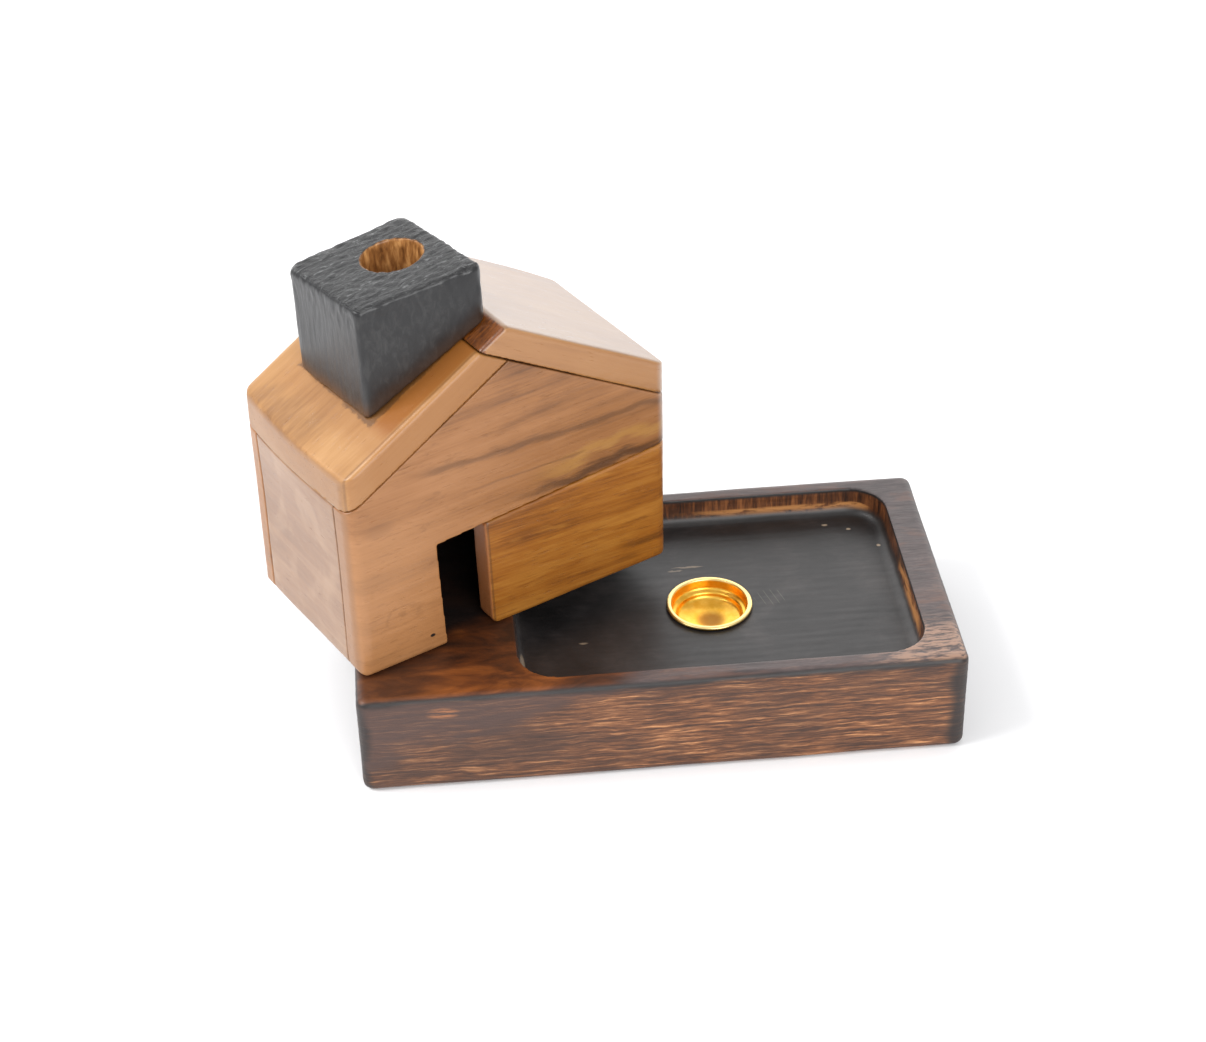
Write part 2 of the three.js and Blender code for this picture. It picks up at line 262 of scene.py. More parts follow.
class Nodes:
    """One material's node tree. Its methods return output sockets.

    place is the point being shaded, in millimetres in the piece's own frame, and x, y and z are
    its parts. to_right, to_back and to_top are the parts of the surface's direction there.
    """

    def __init__(self, name):
        self.material = bpy.data.materials.new(name)
        self.material.use_nodes = True
        self.tree = self.material.node_tree
        self.shader = self.tree.nodes["Principled BSDF"]
        coordinates = self.tree.nodes.new("ShaderNodeTexCoord")
        self.place = self.scaled(coordinates.outputs["Object"], (1 / MM,) * 3)
        self.x, self.y, self.z = self.split(self.place)
        self.to_right, self.to_back, self.to_top = self.split(coordinates.outputs["Normal"])

    def feed(self, socket, value):
        """Link an output to the socket, or set the socket to a number, vector or colour."""
        if isinstance(value, bpy.types.NodeSocket):
            self.tree.links.new(value, socket)
        elif hasattr(socket.default_value, "__len__") and not hasattr(value, "__len__"):
            socket.default_value = [value] * len(socket.default_value)
        elif hasattr(value, "__len__") and len(value) < len(socket.default_value):
            socket.default_value = (*value, 1.0)
        else:
            socket.default_value = value

    def combined(self, operation, first, second):
        node = self.tree.nodes.new("ShaderNodeVectorMath")
        node.operation = operation
        self.feed(node.inputs[0], first)
        self.feed(node.inputs[1], second)
        return node.outputs[0]

    def scaled(self, vector, factors):
        return self.combined("MULTIPLY", vector, factors)

    def shifted(self, vector, offset):
        return self.combined("ADD", vector, offset)

    def shifted_up(self, vector, height):
        node = self.tree.nodes.new("ShaderNodeCombineXYZ")
        self.feed(node.inputs["Z"], height)
        return self.shifted(vector, node.outputs[0])

    def turned(self, vector, axis, angle):
        """The point turned about an axis of the piece's frame."""
        node = self.tree.nodes.new("ShaderNodeVectorRotate")
        node.rotation_type = axis
        self.feed(node.inputs["Vector"], vector)
        self.feed(node.inputs["Angle"], angle)
        return node.outputs[0]

    def split(self, vector):
        node = self.tree.nodes.new("ShaderNodeSeparateXYZ")
        self.feed(node.inputs[0], vector)
        return node.outputs[0], node.outputs[1], node.outputs[2]

    def calculated(self, operation, first, second=0.0):
        node = self.tree.nodes.new("ShaderNodeMath")
        node.operation = operation
        self.feed(node.inputs[0], first)
        self.feed(node.inputs[1], second)
        return node.outputs[0]

    def plus(self, total, *others):
        for other in others:
            total = self.calculated("ADD", total, other)
        return total

    def times(self, product, *others):
        for other in others:
            product = self.calculated("MULTIPLY", product, other)
        return product

    def minus(self, first, second):
        return self.calculated("SUBTRACT", first, second)

    def either(self, first, second):
        return self.calculated("MAXIMUM", first, second)

    def distance(self, value, middle):
        return self.calculated("ABSOLUTE", self.minus(value, middle))

    def beyond(self, value, low, high):
        """How far the value is outside low to high. It is negative inside."""
        return self.minus(self.distance(value, (low + high) / 2), (high - low) / 2)

    def ellipse(self, first, second, centre, size):
        """The squared distance from an ellipse's centre: 1 on the ellipse itself."""
        across = self.times(self.minus(first, centre[0]), 1 / size[0])
        up = self.times(self.minus(second, centre[1]), 1 / size[1])
        return self.plus(self.times(across, across), self.times(up, up))

    def swing(self, value, reach):
        """A value from 0 to 1, moved and scaled to swing evenly about 0."""
        return self.times(self.minus(value, 0.5), reach)

    def blend(self, *parts):
        """The sum of some values, each with its share."""
        return self.plus(*[self.times(value, share) for value, share in parts])

    def noise(self, place, size, detail=3.0, roughness=0.55, distortion=0.0, seed=0.0):
        """Noise from 0 to 1, with features of the given sizes in millimetres along x, y, z."""
        node = self.tree.nodes.new("ShaderNodeTexNoise")
        moved = self.shifted(place, (seed * 31.7, seed * 17.3, seed * 23.9))
        self.feed(node.inputs["Vector"], self.scaled(moved, [1 / s for s in size]))
        self.feed(node.inputs["Scale"], 1.0)
        self.feed(node.inputs["Detail"], detail)
        self.feed(node.inputs["Roughness"], roughness)
        self.feed(node.inputs["Distortion"], distortion)
        return node.outputs["Fac"]

    def step(self, value, low, high):
        """0 below low, 1 above high and smooth between. Falls instead if low is the larger."""
        node = self.tree.nodes.new("ShaderNodeMapRange")
        node.interpolation_type = "SMOOTHSTEP"
        self.feed(node.inputs["Value"], value)
        self.feed(node.inputs["From Min"], min(low, high))
        self.feed(node.inputs["From Max"], max(low, high))
        self.feed(node.inputs["To Min"], 0.0 if low < high else 1.0)
        self.feed(node.inputs["To Max"], 1.0 if low < high else 0.0)
        return node.outputs["Result"]

    def within(self, value, low, high, reach):
        """1 from low to high, falling to 0 over the reach outside them."""
        return self.times(self.step(value, low - reach, low), self.step(value, high + reach, high))

    def line(self, value, middle, outer, inner):
        """1 within the inner distance of the middle, and 0 beyond the outer one."""
        return self.step(self.distance(value, middle), outer, inner)

    def spot(self, first, second, centre, size, edge=0.5):
        """1 inside an ellipse about the centre and 0 outside it."""
        return self.step(self.ellipse(first, second, centre, size), 1.0, 1.0 - edge)

    def ramp(self, value, positions, tones):
        """Colours along a value, one at each position."""
        node = self.tree.nodes.new("ShaderNodeValToRGB")
        elements = node.color_ramp.elements
        while len(elements) < len(tones):
            elements.new(0.5)
        for element, position, tone in zip(elements, positions, tones):
            element.position = position
            element.color = (*tone, 1.0)
        self.feed(node.inputs[0], value)
        return node.outputs[0]

    def mix(self, factor, first, second):
        node = self.tree.nodes.new("ShaderNodeMix")
        node.data_type = "RGBA"
        self.feed(node.inputs["Factor"], factor)
        self.feed(node.inputs[6], first)
        self.feed(node.inputs[7], second)
        return node.outputs[2]

    def tinted(self, colour, mask, tone, strength=1.0):
        """The colour, taken toward the tone by the given strength where the mask is 1."""
        return self.mix(self.times(mask, strength), colour, tone)

    def bump(self, height, depth):
        """Relief of the given depth in millimetres."""
        node = self.tree.nodes.new("ShaderNodeBump")
        self.feed(node.inputs["Height"], height)
        self.feed(node.inputs["Distance"], depth * MM)
        return node.outputs[0]

    def finish(self, colour, roughness, normal, coat=0.0, coat_roughness=0.2, metallic=0.0):
        self.feed(self.shader.inputs["Base Color"], colour)
        self.feed(self.shader.inputs["Roughness"], roughness)
        self.feed(self.shader.inputs["Normal"], normal)
        self.shader.inputs["Coat Weight"].default_value = coat
        self.shader.inputs["Coat Roughness"].default_value = coat_roughness
        self.shader.inputs["Metallic"].default_value = metallic
        return self.material


# ---- The house's materials ----

# Colours are linear. A wood has three tones, from the darkest grain to the lightest.
HONEY = ((0.12, 0.045, 0.013), (0.31, 0.13, 0.041), (0.41, 0.19, 0.075))
ROOF = ((0.21, 0.088, 0.022), (0.4, 0.195, 0.062), (0.5, 0.27, 0.105))
SIDE = ((0.14, 0.062, 0.026), (0.25, 0.125, 0.057), (0.42, 0.26, 0.15))
AMBER = ((0.12, 0.036, 0.005), (0.29, 0.098, 0.01), (0.4, 0.165, 0.025))
DARK_GRAIN_AND_SHADE = (0.075, 0.028, 0.008)
YELLOW_GRAIN = (0.4, 0.2, 0.045)
PALE_HONEY = (0.45, 0.22, 0.09)
DARKER_HONEY = (0.23, 0.085, 0.016)
SAWN_AMBER = (0.34, 0.125, 0.042)
RED_ROOF = (0.29, 0.09, 0.009)
STAINED_ROOF = (0.3, 0.115, 0.022)
GREY_ROOF_SHEEN = (0.1, 0.075, 0.065)
SAWN_RIDGE = ((0.075, 0.02, 0.003), (0.24, 0.07, 0.01))
CORNER_SHEEN = (0.4, 0.34, 0.3)
OLD_GLUE = (0.09, 0.035, 0.009)
NEAR_BLACK = (0.006, 0.005, 0.005)

# Marks on the gable wall, at (x, z). A streak has its two ends, its half width, the length over
# which it fades in, its tone and its strength. The knot's flatness is its height over its width.
SOFT_STREAKS = [
    ((44, 37.8), (86, 37.2), 2.4, 16, YELLOW_GRAIN, 0.6),
    ((24, 40.5), (62, 38.5), 0.5, 14, DARK_GRAIN_AND_SHADE, 0.35),
]
BOLD_STREAKS = [
    ((13, 49.0), (86, 44.6), 1.4, 12, DARK_GRAIN_AND_SHADE, 0.5),
    ((34, 34.6), (86, 32.2), 2.0, 26, DARK_GRAIN_AND_SHADE, 0.85),
]
KNOT = (11.5, 13.5)
KNOT_FLATNESS = 3 ** -0.5
SMUDGE = (7.3, 38.6)
SMUDGE_SIZE = (5, 2.6)
NAIL_HOLE = (18.9, 4.5)
NAIL_HOLE_SIZE = (0.75, 0.5)


def inside_house(nodes):
    """1 inside the house, where the wood is blackened as painted shade, and 0 on its outer faces
    and jambs.
    """
    reach = 0.35
    mask = nodes.times(
        nodes.within(nodes.x, WALL, HOUSE_LENGTH - WALL, reach),
        nodes.within(nodes.y, WALL, HOUSE_DEPTH - WALL, reach),
    )
    off_ridge = nodes.distance(nodes.x, HOUSE_LENGTH / 2)
    peak = HOUSE_HEIGHT - SLAB / math.cos(SLOPE)
    ceiling = nodes.minus(peak, nodes.times(off_ridge, math.tan(SLOPE)))
    return nodes.times(mask, nodes.step(nodes.minus(ceiling, nodes.z), -0.3, 0.0))


def streaked(nodes, colour, streaks):
    """The colour with soft lines of grain over it."""
    for start, end, half, fade, tone, strength in streaks:
        slope = (end[1] - start[1]) / (end[0] - start[0])
        line = nodes.plus(
            start[1],
            nodes.times(nodes.minus(nodes.x, start[0]), slope),
            nodes.swing(nodes.noise(nodes.place, (22, 22, 22), 2), 5 * half),
            nodes.swing(nodes.noise(nodes.place, (5, 1, 0.7), 3), 1.6 * half),
        )
        mask = nodes.times(
            nodes.step(nodes.distance(line, nodes.z), half, 0.15 * half),
            nodes.step(nodes.x, start[0], start[0] + fade),
            nodes.step(nodes.x, end[0] + 1, end[0] - 2),
        )
        colour = nodes.tinted(colour, mask, tone, strength)
    return colour


def grained(nodes, place, tones, seed, contrast=1.0):
    """Wood with its grain along x: its colour, and the height of its fibres."""
    bands = nodes.noise(place, (75, 15, 4.5), 3, 0.6, 0.5, seed)
    fibres = nodes.noise(place, (15, 1.2, 0.6), 4, 0.65, 0.3, seed + 1)
    cloud = nodes.noise(place, (26, 20, 15), 3, 0.55, 0.2, seed + 2)
    tone = nodes.blend((bands, 0.42), (fibres, 0.26), (cloud, 0.32))
    reach = 0.15 / contrast
    colour = nodes.ramp(tone, (0.5 - reach, 0.5, 0.5 + reach), tones)
    pores = nodes.step(nodes.noise(place, (4, 0.5, 0.32), 2, 0.5, 0, seed + 3), 0.62, 0.76)
    colour = nodes.tinted(colour, pores, tones[0], 0.3 * contrast)
    return colour, nodes.minus(nodes.times(fibres, 0.6), nodes.times(pores, 0.7))


def house_wood(nodes, colour, height, coat=0.15, left_face_sheen=0.65):
    """Painted shade inside and lacquer outside, and a painted sheen that pales the left faces and
    one corner.
    """
    # Painted shade: the inside of the house is darkened nearly to black.
    colour = nodes.tinted(colour, inside_house(nodes), NEAR_BLACK)
    # Painted sheen: faces that look left are taken toward a pale tone.
    colour = nodes.tinted(colour, nodes.step(nodes.to_right, -0.7, -0.95), SIDE[1], left_face_sheen)
    # Painted sheen: a pale band down the front of the right corner, above the lintel.
    corner = nodes.times(
        nodes.step(nodes.x, HOUSE_LENGTH - 3.4, HOUSE_LENGTH - 1.2),
        nodes.step(nodes.to_back, -0.2, -0.6),
        nodes.step(nodes.z, LINTEL, LINTEL + 8),
    )
    colour = nodes.tinted(colour, corner, CORNER_SHEEN, 0.45)
    roughness = nodes.plus(0.32, nodes.times(height, 0.2))
    relief = nodes.bump(height, 0.045)
    return nodes.finish(colour, roughness, relief, coat=coat, coat_roughness=0.22)


def door_wall_finish(name):
    """The gable wall: horizontal grain with dark streaks, a faint knot and a nail hole."""
    nodes = Nodes(name)
    colour, height = grained(nodes, nodes.place, HONEY, 1, 0.75)
    jamb = nodes.times(nodes.step(nodes.x, 34, 10), nodes.step(nodes.z, 46, 30))
    colour = nodes.tinted(colour, jamb, PALE_HONEY, 0.4)
    # Darker toward the lower right.
    lower_right = nodes.times(nodes.step(nodes.x, 22, 60), nodes.step(nodes.z, 52, 40))
    colour = nodes.tinted(colour, lower_right, DARKER_HONEY, 0.45)
    colour = streaked(nodes, colour, SOFT_STREAKS)
    flecks = nodes.step(nodes.noise(nodes.place, (5, 3, 1.1), 4, 0.65, 0.5, 19), 0.56, 0.72)
    colour = nodes.tinted(colour, flecks, HONEY[0], 0.28)
    colour = streaked(nodes, colour, BOLD_STREAKS)
    colour = nodes.tinted(colour, knot_rings(nodes), DARK_GRAIN_AND_SHADE, 0.2)
    smudge = nodes.spot(nodes.x, nodes.z, SMUDGE, SMUDGE_SIZE, 1.0)
    colour = nodes.tinted(colour, smudge, DARK_GRAIN_AND_SHADE, 0.2)
    hole = nodes.spot(nodes.x, nodes.z, NAIL_HOLE, NAIL_HOLE_SIZE)
    colour = nodes.tinted(colour, hole, NEAR_BLACK)
    return house_wood(nodes, colour, height)


def knot_rings(nodes):
    """Faint uneven rings round the knot in the left jamb, fading outward."""
    flat_circles = nodes.ellipse(nodes.x, nodes.z, KNOT, (1, KNOT_FLATNESS))
    radius = nodes.calculated("SQRT", flat_circles)
    wobble = nodes.times(nodes.noise(nodes.place, (5, 5, 2.5), 3), 13)
    rings = nodes.calculated("SINE", nodes.plus(nodes.times(radius, 1.7), wobble))
    return nodes.times(nodes.step(rings, 0.0, 1.0), nodes.step(radius, 10, 1))


def board_finish(name):
    """The amber board beside the door, with its paler sawn end in the doorway."""
    nodes = Nodes(name)
    leaning = nodes.turned(nodes.place, "Y_AXIS", math.radians(-4))
    colour, height = grained(nodes, leaning, AMBER, 11, 1.15)
    dark = nodes.step(nodes.noise(leaning, (9, 1.4, 0.9), 3, 0.6, 0.6, 14), 0.54, 0.7)
    colour = nodes.tinted(colour, dark, AMBER[0], 0.45)
    pale = nodes.step(nodes.noise(leaning, (14, 4, 1.6), 3, 0.6, 0.4, 15), 0.56, 0.7)
    colour = nodes.tinted(colour, pale, AMBER[2], 0.45)
    # Painted shade: a dark line just beside the arris of the board's end.
    upright = nodes.plus(nodes.x, nodes.times(nodes.z, (BOARD_FOOT - BOARD_HEAD) / LINTEL))
    arris = nodes.line(upright, BOARD_FOOT + 0.7, 0.4, 0.1)
    colour = nodes.tinted(colour, arris, DARK_GRAIN_AND_SHADE, 0.5)
    colour = nodes.tinted(colour, nodes.step(nodes.to_right, -0.45, -0.85), SAWN_AMBER)
    return house_wood(nodes, colour, height, coat=0.0, left_face_sheen=0.0)


def plain_wall_finish(name, tones, seed, grain_turn, coat):
    """A wall without a door. grain_turn lays the grain along the wall."""
    nodes = Nodes(name)
    along = nodes.turned(nodes.place, "Z_AXIS", grain_turn)
    colour, height = grained(nodes, along, tones, seed, 0.8)
    blotches = nodes.noise(nodes.place, (13, 11, 15), 3, 0.55, 0.6, seed + 4)
    colour = nodes.tinted(colour, nodes.step(blotches, 0.42, 0.62), tones[2], 0.5)
    return house_wood(nodes, colour, height, coat, 0.35)


def slab_grain(nodes, slope, seed, contrast):
    """A roof slab's wood with its grain down the slope, more like the gable wall's in front."""
    sloping = nodes.turned(nodes.place, "Y_AXIS", slope)
    colour, height = grained(nodes, sloping, ROOF, seed, contrast)
    in_front = nodes.step(nodes.to_back, -0.5, -0.9)
    return nodes.tinted(colour, in_front, HONEY[1], 0.6), height, sloping


def left_slab_finish(name):
    """The slab under the chimney: redder in the strip in front of it, with a dark arris."""
    nodes = Nodes(name)
    colour, height, sloping = slab_grain(nodes, SLOPE, 21, 0.95)
    ragged = nodes.times(nodes.noise(sloping, (6, 1.5, 6), 3, 0.6, 0, 23), 2.4)
    ragged_x = nodes.plus(nodes.x, ragged)
    strip = nodes.times(
        nodes.step(nodes.plus(nodes.y, ragged), 10.5, 8.0),
        nodes.step(nodes.y, 1.4, 2.6),
        nodes.step(ragged_x, 11, 15),
    )
    colour = nodes.tinted(colour, strip, RED_ROOF, 0.9)
    colour = nodes.tinted(colour, nodes.line(nodes.y, 1.5, 0.45, 0.1), DARK_GRAIN_AND_SHADE, 0.4)
    stain = nodes.times(nodes.step(ragged_x, 5.5, 10), nodes.step(nodes.y, 46, 38))
    colour = nodes.tinted(colour, stain, STAINED_ROOF, 0.35)
    colour = nodes.tinted(colour, chimney_foot(nodes), OLD_GLUE, 0.7)
    return house_wood(nodes, colour, height)


def chimney_foot(nodes):
    """A ragged dark line of glue just outside the chimney's plan."""
    (left, front), (right, back) = CHIMNEY_PLAN
    outside = nodes.either(nodes.beyond(nodes.x, left, right), nodes.beyond(nodes.y, front, back))
    ragged = nodes.times(nodes.noise(nodes.place, (2.6, 2.6, 2.6), 4, 0.7, 0, 31), 2.8)
    return nodes.step(nodes.plus(outside, ragged), 1.9, 1.1)


def right_slab_finish(name):
    """The slab that runs over the ridge: painted grey on top for its sheen, with its sawn end
    beyond the ridge.
    """
    nodes = Nodes(name)
    colour, height, _ = slab_grain(nodes, -SLOPE, 41, 0.9)
    # Painted sheen: the top faces are greyed, standing in for the pale reflection there.
    colour = nodes.tinted(colour, nodes.step(nodes.to_top, 0.6, 0.8), GREY_ROOF_SHEEN, 0.5)
    end = nodes.times(
        nodes.step(nodes.to_right, -0.15, -0.4),
        nodes.step(nodes.z, EAVE + 5, EAVE + 8),
    )
    saw_marks = nodes.noise(nodes.place, (2.4, 0.5, 2.4), 4, 0.6, 0.2, 44)
    colour = nodes.tinted(colour, end, nodes.ramp(saw_marks, (0.35, 0.65), SAWN_RIDGE))
    return house_wood(nodes, colour, height, coat=0.5, left_face_sheen=0.1)


BLACK_STAIN = ((0.007, 0.007, 0.008), (0.014, 0.014, 0.015), (0.036, 0.036, 0.036))
WORN_STAIN = (0.17, 0.175, 0.175)
ROOF_REFLECTION_BROWN = (0.11, 0.05, 0.02)
RAW_BORE = ((0.12, 0.045, 0.012), (0.34, 0.15, 0.045), (0.62, 0.33, 0.12))


def chimney_finish(name):
    """Black stain brushed over wood and worn on the top, raw wood in the bore, and a painted
    reflection of the roof.
    """
    nodes = Nodes(name)
    brush = nodes.noise(nodes.place, (5.5, 1.0, 9), 4, 0.65, 0.5, 2)
    strokes = nodes.noise(nodes.place, (1.9, 0.8, 4), 4, 0.65, 0.6, 3)
    cloud = nodes.noise(nodes.place, (12, 12, 16), 3, 0.5, 0, 5)
    tone = nodes.blend((strokes, 0.6), (cloud, 0.4))
    colour = nodes.ramp(tone, (0.36, 0.52, 0.68), BLACK_STAIN)
    worn = nodes.times(
        nodes.step(nodes.noise(nodes.place, (2, 0.9, 3), 4, 0.65, 0.6, 6), 0.56, 0.7),
        nodes.step(nodes.to_top, 0.6, 0.85),
    )
    colour = nodes.tinted(colour, worn, WORN_STAIN, 0.75)
    # Painted reflection: brown from the roof near the chimney's foot, most of all on its left
    # side.
    colour = nodes.tinted(colour, painted_roof_reflection(nodes, cloud), ROOF_REFLECTION_BROWN)
    flutes = nodes.noise(nodes.place, (1.2, 1.2, 5), 4, 0.6, 0.3, 9)
    raw_wood = nodes.ramp(flutes, (0.32, 0.5, 0.68), RAW_BORE)
    colour = nodes.tinted(colour, inside_bore(nodes), raw_wood)
    top = nodes.step(nodes.to_top, 0.7, 0.9)
    rough_top = nodes.plus(brush, nodes.times(strokes, 1.2))
    relief = nodes.mix(top, nodes.times(brush, 0.3), rough_top)
    roughness = nodes.plus(0.24, nodes.times(cloud, 0.2), nodes.times(top, 0.14))
    return nodes.finish(colour, roughness, nodes.bump(relief, 0.3))


def painted_roof_reflection(nodes, cloud):
    """A painted brown reflection of the roof: near the roof, and most of all on the left side."""
    roof = nodes.plus(EAVE, nodes.times(nodes.x, math.tan(SLOPE)))
    above_roof = nodes.plus(nodes.minus(nodes.z, roof), nodes.times(cloud, 6))
    left = nodes.step(nodes.to_right, -0.4, -0.8)
    return nodes.times(nodes.step(above_roof, 9, 3), nodes.plus(0.3, nodes.times(left, 0.55)))


def inside_bore(nodes):
    """1 in the chimney's smoke hole, with a ragged edge just outside its rim."""
    radius = nodes.calculated("SQRT", nodes.ellipse(nodes.x, nodes.y, SMOKE_HOLE, (1, 1)))
    ragged = nodes.times(nodes.noise(nodes.place, (2, 2, 2), 3, 0.6, 0, 7), 0.6)
    edge = SMOKE_HOLE_RADIUS + 0.75
    return nodes.step(nodes.plus(radius, ragged), edge, edge - 0.35)


# ---- The base's material ----

FLECKED = ((0.02, 0.009, 0.006), (0.085, 0.031, 0.013), (0.22, 0.083, 0.03), (0.62, 0.29, 0.12))
SHADED = (0.055, 0.026, 0.017)
PURPLE = (0.07, 0.04, 0.034)
ORANGE_PATCH = (0.45, 0.17, 0.06)
CHAR = (0.011, 0.009, 0.009)
RIM = ((0.04, 0.029, 0.029), (0.085, 0.062, 0.06), (0.16, 0.105, 0.085))
BROWN_RIM = (0.13, 0.062, 0.042)
WORN_RIM = (0.36, 0.215, 0.145)
CHARRED_ARRIS = (0.008, 0.007, 0.007)
SHELF = ((0.035, 0.011, 0.004), (0.095, 0.026, 0.006), (0.24, 0.07, 0.013))
SHELF_SHADE = (0.03, 0.01, 0.004)
POCKET_SIDES = ((0.02, 0.008, 0.004), (0.1, 0.033, 0.011), (0.3, 0.11, 0.035))
BRIGHT_WOOD_AND_HIGHLIGHT = (0.5, 0.22, 0.07)
POCKET_BLACK = ((0.01, 0.009, 0.009), (0.019, 0.017, 0.017), (0.036, 0.031, 0.03))
PALE_SCRATCH_AND_HIGHLIGHT = (0.38, 0.29, 0.2)
FAINT_MARKS = (0.22, 0.22, 0.16)

# A patch on the front, at (x, z), and marks on the pocket's floor, at (x, y): pale scratches, and
# a painted highlight in the left-front cove. A mark has its middle, its half lengths along x and
# y, and its strength.
PATCH = (-50.7, 21.4)
PATCH_SIZE = (4.5, 1.7)
SCRATCHES_AND_HIGHLIGHT = [
    ((11.4, 14.6), (4.5, 0.4), 0.5),
    ((8.2, 13.4), (2.2, 0.3), 0.4),
    ((-16.6, -12.4), (1.3, 0.4), 0.5),
    ((59.1, 17.9), (0.6, 0.6), 0.9),
    ((47.3, 27.9), (0.9, 0.6), 0.8),
    ((52.9, 25.5), (0.7, 0.4), 0.8),
    ((3.0, 24.5), (1.2, 0.4), 0.4),
    # Painted highlight in the pocket's left-front cove, not a scratch.
    ((-31.4, -19.5), (0.7, 4.5), 0.6),
    ((-29.0, -26.5), (1.4, 0.6), 0.4),
]
ZIGZAG = (29.7, 0.4)
ZIGZAG_SIZE = (4.5, 3.4)


def burnt_wood_finish(name):
    """The base: scorched, brushed and waxed. Its grain runs along x."""
    nodes = Nodes(name)
    waves = nodes.swing(nodes.noise(nodes.place, (14, 9, 5), 3, 0.6, 0.4, 2), 2.0)
    wavy = nodes.shifted_up(nodes.place, waves)
    flecks = nodes.noise(wavy, (15, 2.4, 0.75), 5, 0.66, 0.0, 3)
    fine = nodes.noise(wavy, (4.5, 0.8, 0.35), 3, 0.6, 0.2, 8)
    cloud = nodes.noise(nodes.place, (24, 14, 9), 3, 0.6, 0.3, 12)
    tone = nodes.blend((flecks, 0.72), (fine, 0.28))
    top = nodes.step(nodes.to_top, 0.45, 0.8)
    colour = nodes.mix(top, flecked_side(nodes, tone, cloud), waxed_top(nodes, fine, cloud))
    below_rim = nodes.step(nodes.z, BASE_HEIGHT - 0.4, BASE_HEIGHT - 1.2)
    pocket = nodes.times(inside_pocket(nodes), below_rim)
    uneven_z = nodes.plus(nodes.z, nodes.swing(cloud, 0.8))
    floor = nodes.times(pocket, nodes.step(uneven_z, POCKET_FLOOR + 2.8, POCKET_FLOOR + 1.0))
    colour = nodes.mix(pocket, colour, pocket_wall(nodes, cloud))
    colour = nodes.mix(floor, colour, pocket_floor(nodes, fine))
    # Painted shade: the base under the standing house is darkened nearly to black.
    colour = nodes.tinted(colour, shade_under_house(nodes), NEAR_BLACK, 0.94)
    roughness = nodes.mix(floor, nodes.plus(0.36, nodes.times(cloud, 0.22)), 0.42)
    relief = nodes.mix(floor, tone, 0.5)
    return nodes.finish(colour, roughness, nodes.bump(relief, 0.14))


def shade_under_house(nodes):
    """1 on the part of the base that is inside the house's walls as it stands: painted shade
    there.
    """
    corner = HOUSE.translation / MM
    moved = nodes.shifted(nodes.place, (-corner.x, -corner.y, 0))
    x, y, _ = nodes.split(nodes.turned(moved, "Z_AXIS", -HOUSE_TURN))
    ragged = nodes.swing(nodes.noise(nodes.place, (8, 8, 8), 4), 9)
    inset = 13
    fade = 12
    return nodes.times(
        nodes.within(nodes.plus(x, ragged), inset, HOUSE_LENGTH - inset, fade),
        nodes.step(y, 1, WALL + 1),
        nodes.step(nodes.plus(y, ragged), HOUSE_DEPTH - inset + fade, HOUSE_DEPTH - inset),
        nodes.step(nodes.z, POCKET_FLOOR + 3, POCKET_FLOOR + 5),
    )


def inside_pocket(nodes):
    """1 within the pocket's plan, its walls included."""
    (left, front), (right, back) = POCKET_PLAN
    reach = 0.25
    return nodes.times(
        nodes.within(nodes.x, left, right, reach),
        nodes.within(nodes.y, front, back, reach),
    )


def flecked_side(nodes, tone, cloud):
    """The sides: brown wood with tan flecks, darker to the left and charred at the edges."""
    colour = nodes.ramp(tone, (0.34, 0.46, 0.55, 0.66), FLECKED)
    shade = nodes.plus(nodes.step(cloud, 0.44, 0.6), nodes.step(nodes.x, 10, -60))
    colour = nodes.tinted(colour, shade, SHADED, 0.42)
    spread = nodes.swing(cloud, 16)
    up_and_left = nodes.plus(nodes.minus(nodes.z, nodes.times(nodes.x, 0.3)), spread)
    colour = nodes.tinted(colour, nodes.step(up_and_left, 24, 33), PURPLE, 0.75)
    uneven_z = nodes.plus(nodes.z, nodes.times(spread, 0.2))
    patch = nodes.times(
        nodes.spot(nodes.x, uneven_z, PATCH, PATCH_SIZE, 1.0),
        nodes.step(tone, 0.42, 0.56),
    )
    colour = nodes.tinted(colour, patch, ORANGE_PATCH, 0.65)
    return nodes.tinted(colour, charred_edges(nodes, spread), CHAR)


def charred_edges(nodes, spread):
    """Where the sides are charred: at the right and left ends and along the top arris."""
    half = BASE_LENGTH / 2
    right = nodes.step(nodes.plus(nodes.x, nodes.times(spread, 0.25)), half - 5.5, half - 2.5)
    left = nodes.step(nodes.plus(nodes.x, nodes.times(spread, 0.4)), 3 - half, 0.6 - half)
    uneven_z = nodes.plus(nodes.z, nodes.times(spread, 0.12))
    arris = nodes.step(uneven_z, BASE_HEIGHT - 2.2, BASE_HEIGHT - 0.7)
    return nodes.either(nodes.either(nodes.times(right, 0.88), arris), nodes.times(left, 0.8))


